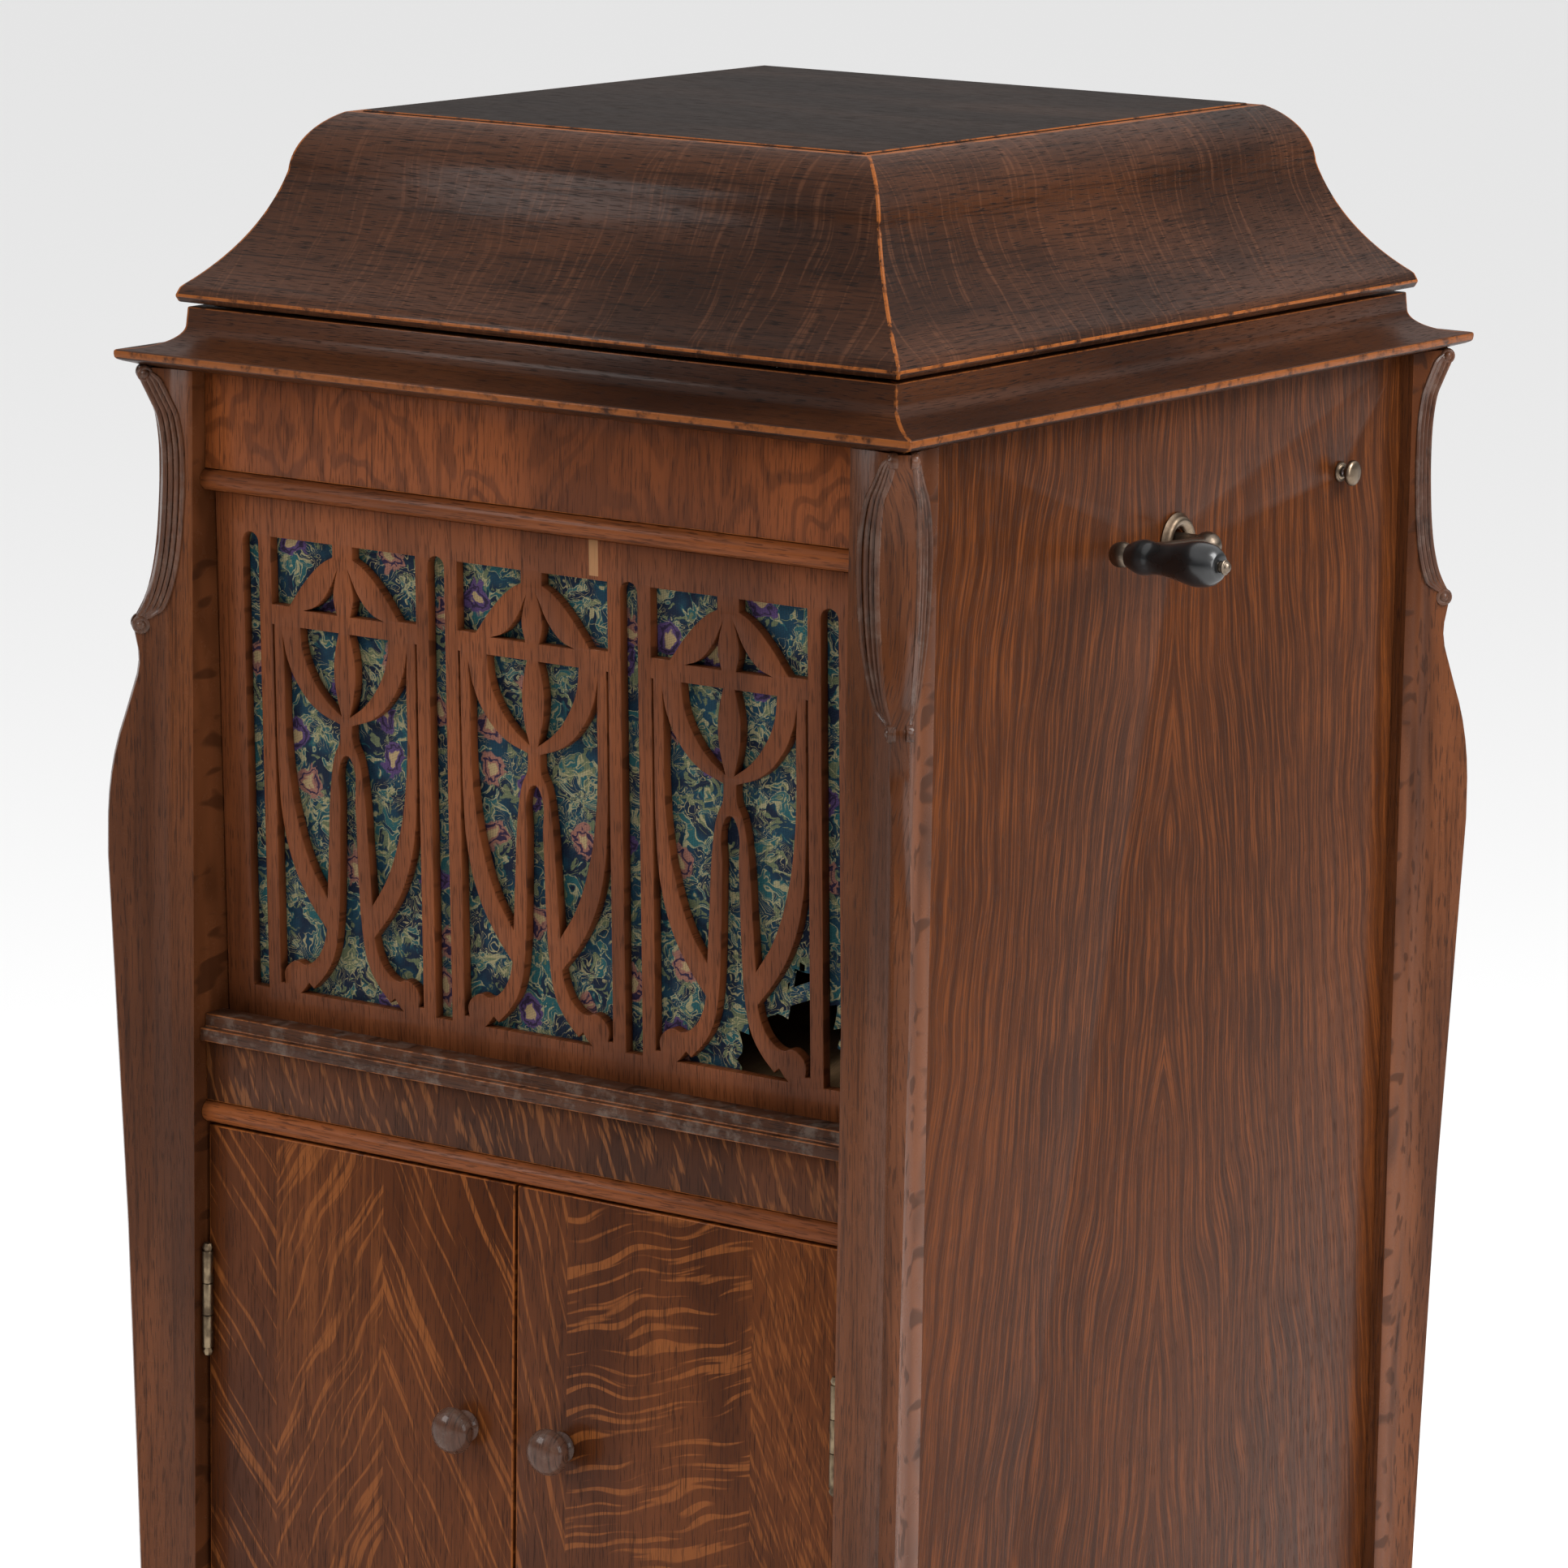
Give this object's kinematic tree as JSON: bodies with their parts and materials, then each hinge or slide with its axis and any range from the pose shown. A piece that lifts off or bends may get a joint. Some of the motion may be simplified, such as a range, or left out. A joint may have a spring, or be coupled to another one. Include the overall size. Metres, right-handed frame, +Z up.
{
  "type": "wind-up phonograph",
  "caption": "Floor-standing oak cabinet phonograph with ogee lid, fret grille over an internal horn, side winding crank, turntable, tonearm, spring motor and record cupboard.",
  "frame": {"origin": "on the floor under the middle of the whole outline, crank included", "axes": "+Z up, the front with the grille and doors faces -Y, the crank is on the +X side"},
  "size_m": [0.6573, 0.6286, 1.2517],
  "materials": {
    "oak": "satin varnished quarter-sawn oak with worn edges",
    "dark_oak": "dark varnished oak, near black on the lid's flat, orange where worn",
    "carcase_wood": "plain sawn softwood",
    "grille_cloth": "woven brocade",
    "felt": "green baize",
    "aged_brass": "tarnished brass",
    "aged_nickel": "worn nickel plate",
    "steel": "bright steel",
    "black_iron": "black japanned cast iron",
    "black_grip": "glossy ebonised grip"
  },
  "bodies": {
    "cabinet": {"post_front_left": "oak", "post_front_right": "oak", "post_back_left": "oak", "post_back_right": "oak", "side_panel_left": "oak", "side_panel_right": "oak", "back_panel": "oak", "cornice": "dark_oak", "upper_frieze": "oak", "upper_bead": "oak", "grille_ledge": "dark_oak", "lower_frieze": "oak", "lower_bead": "oak", "bottom_rail": "oak", "cupboard_floor": "carcase_wood", "cupboard_ceiling": "carcase_wood", "record_rack": "carcase_wood", "motor_board": "oak", "horn": "carcase_wood", "horn_throat": "black_iron", "tonearm_bracket": "aged_nickel", "motor_frame": "black_iron", "crank_escutcheon": "aged_brass", "lid_hinge_left": "aged_brass", "lid_hinge_right": "aged_brass", "hinge_left_upper": "aged_brass", "hinge_left_lower": "aged_brass", "hinge_right_upper": "aged_brass", "hinge_right_lower": "aged_brass"},
    "lid": {"lid_frame": "dark_oak", "lid_top": "dark_oak"},
    "lid_stay": {"lid_stay": "aged_brass"},
    "door_left": {"door_left": "oak", "door_knob_left": "oak", "hinge_leaf_left_upper": "aged_brass", "hinge_leaf_left_lower": "aged_brass"},
    "door_right": {"door_right": "oak", "door_knob_right": "oak", "hinge_leaf_right_upper": "aged_brass", "hinge_leaf_right_lower": "aged_brass"},
    "grille": {"grille_panel": "oak", "grille_cloth": "grille_cloth"},
    "crank": {"crank": "aged_nickel"},
    "crank_grip": {"crank_grip": "black_grip"},
    "winding_gear": {"winding_gear": "aged_brass"},
    "turntable": {"turntable": "aged_nickel", "turntable_felt": "felt", "turntable_spindle": "steel"},
    "spring_barrel": {"spring_barrel": "aged_brass", "mainspring": "steel"},
    "intermediate_wheel": {"intermediate_wheel": "aged_brass"},
    "governor": {"governor": "aged_brass"},
    "tonearm": {"tonearm": "aged_nickel"},
    "sound_box": {"sound_box_neck": "aged_nickel", "sound_box": "aged_nickel", "needle": "steel"},
    "brake": {"brake_lever": "aged_nickel"},
    "speed_pointer": {"speed_pointer": "aged_nickel"},
    "tone_control": {"tone_gate": "steel", "tone_knob": "aged_brass"}
  },
  "joints": [
    {"name": "lid_hinge", "type": "hinge", "parent": "cabinet", "child": "lid", "pos_m": [-0.03742, 0.287, 1.13695], "axis": [-1, 0, 0], "range_deg": [0, 75]},
    {"name": "lid_stay_pivot", "type": "hinge", "parent": "cabinet", "child": "lid_stay", "pos_m": [-0.03742, 0.205, 1.118], "axis": [-1, 0, 0], "range_deg": [0, 88]},
    {"name": "door_left_hinge", "type": "hinge", "parent": "cabinet", "child": "door_left", "pos_m": [-0.26922, -0.2867, 0.07], "axis": [0, 0, -1], "range_deg": [0, 95]},
    {"name": "door_right_hinge", "type": "hinge", "parent": "cabinet", "child": "door_right", "pos_m": [0.19438, -0.2867, 0.07], "axis": [0, 0, 1], "range_deg": [0, 95]},
    {"name": "grille_tilt", "type": "hinge", "parent": "cabinet", "child": "grille", "pos_m": [-0.03742, -0.262, 0.7046], "axis": [1, 0, 0], "range_deg": [0, 30]},
    {"name": "crank_turn", "type": "hinge", "parent": "cabinet", "child": "crank", "pos_m": [-0.03742, 0.002, 1.0147], "axis": [1, 0, 0], "continuous": true},
    {"name": "crank_grip_spin", "type": "hinge", "parent": "crank", "child": "crank_grip", "pos_m": [-0.03742, -0.10502, 1.02369], "axis": [1, 0, 0], "continuous": true},
    {"name": "winding_gear_turn", "type": "hinge", "parent": "cabinet", "child": "winding_gear", "pos_m": [0.00058, 0.002, 1], "axis": [0, 0, 1], "continuous": true},
    {"name": "turntable_spin", "type": "hinge", "parent": "cabinet", "child": "turntable", "pos_m": [-0.06242, -0.005, 1.112], "axis": [0, 0, 1], "continuous": true},
    {"name": "intermediate_wheel_spin", "type": "hinge", "parent": "cabinet", "child": "intermediate_wheel", "pos_m": [-0.0455, 0.02779, 1], "axis": [0, 0, 1], "continuous": true},
    {"name": "spring_barrel_spin", "type": "hinge", "parent": "cabinet", "child": "spring_barrel", "pos_m": [0.00058, 0.002, 0.98], "axis": [0, 0, 1], "continuous": true},
    {"name": "governor_spin", "type": "hinge", "parent": "cabinet", "child": "governor", "pos_m": [-0.08042, -0.027, 0.9717], "axis": [1, 0, 0], "continuous": true},
    {"name": "tonearm_swing", "type": "hinge", "parent": "cabinet", "child": "tonearm", "pos_m": [0.08058, 0.188, 1.16], "axis": [0, 0, -1], "range_deg": [0, 36]},
    {"name": "sound_box_lift", "type": "hinge", "parent": "tonearm", "child": "sound_box", "pos_m": [0.11328, 0.01791, 1.16], "axis": [-0.982, -0.1888, 0], "range_deg": [0, 18]},
    {"name": "brake_swing", "type": "hinge", "parent": "cabinet", "child": "brake", "pos_m": [0.03633, -0.13967, 1.117], "axis": [0, 0, -1], "range_deg": [0, 15]},
    {"name": "speed_turn", "type": "hinge", "parent": "cabinet", "child": "speed_pointer", "pos_m": [-0.23042, -0.197, 1.0963], "axis": [0, 0, 1], "range_deg": [-35, 35]},
    {"name": "tone_pull", "type": "slide", "parent": "cabinet", "child": "tone_control", "axis": [1, 0, 0], "range_m": [0, 0.05]}
  ],
  "couplings": [
    {"joint": "lid_stay_pivot", "follows": "lid_hinge", "ratio": 1.1684},
    {"joint": "winding_gear_turn", "follows": "crank_turn", "ratio": 0.5},
    {"joint": "intermediate_wheel_spin", "follows": "turntable_spin", "ratio": -0.28125},
    {"joint": "spring_barrel_spin", "follows": "turntable_spin", "ratio": 0.0625},
    {"joint": "governor_spin", "follows": "turntable_spin", "ratio": 14}
  ]
}
